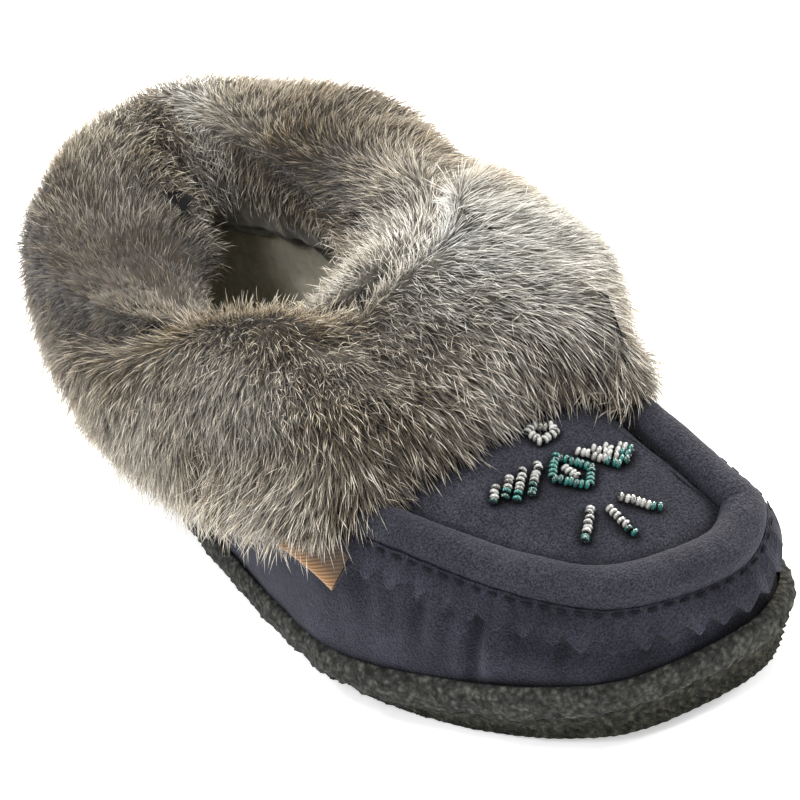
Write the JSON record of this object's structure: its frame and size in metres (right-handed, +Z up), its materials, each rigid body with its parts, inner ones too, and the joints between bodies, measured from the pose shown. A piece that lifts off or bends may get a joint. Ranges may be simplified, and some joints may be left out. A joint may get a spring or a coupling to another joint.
{
  "type": "suede slipper",
  "caption": "Right-foot suede moccasin slipper with a deep turned-down fur cuff, a padded apron seam, glass beadwork on the vamp and a crepe sole.",
  "frame": {"origin": "on the floor plane under the middle of the sole", "axes": "+Z up, +Y from the toe to the heel, +X towards the inner side of the foot"},
  "size_m": [0.1406, 0.2771, 0.1115],
  "materials": {
    "suede": "navy suede, matt",
    "roll_suede": "navy suede, worn",
    "crepe": "crumbly crepe, matt",
    "crepe_dark": "crumbly crepe, matt",
    "lining": "short pile",
    "fur": "long natural fur",
    "ribbon": "satin ribbon",
    "glass_clear": "clear seed beads",
    "glass_teal": "teal seed beads"
  },
  "bodies": {
    "root": {"outsole": "crepe_dark", "foxing": "crepe", "insole": "lining", "upper": "suede", "apron_roll": "roll_suede", "pinked_strip": "suede", "fur_cuff": "fur", "label_tab": "ribbon", "bead_diamond": "glass_teal", "bead_diamond_centre": "glass_clear", "bead_loop": "glass_clear", "bead_bar_outer_1": "glass_clear", "bead_bar_outer_2": "glass_clear", "bead_bar_outer_3": "glass_clear", "bead_bar_outer_4": "glass_clear", "bead_bar_inner_1": "glass_clear", "bead_bar_inner_2": "glass_clear", "bead_bar_inner_3": "glass_clear", "bead_bar_inner_4": "glass_clear", "bead_ray_1": "glass_clear", "bead_ray_2": "glass_clear", "bead_ray_3": "glass_clear"}
  },
  "joints": []
}
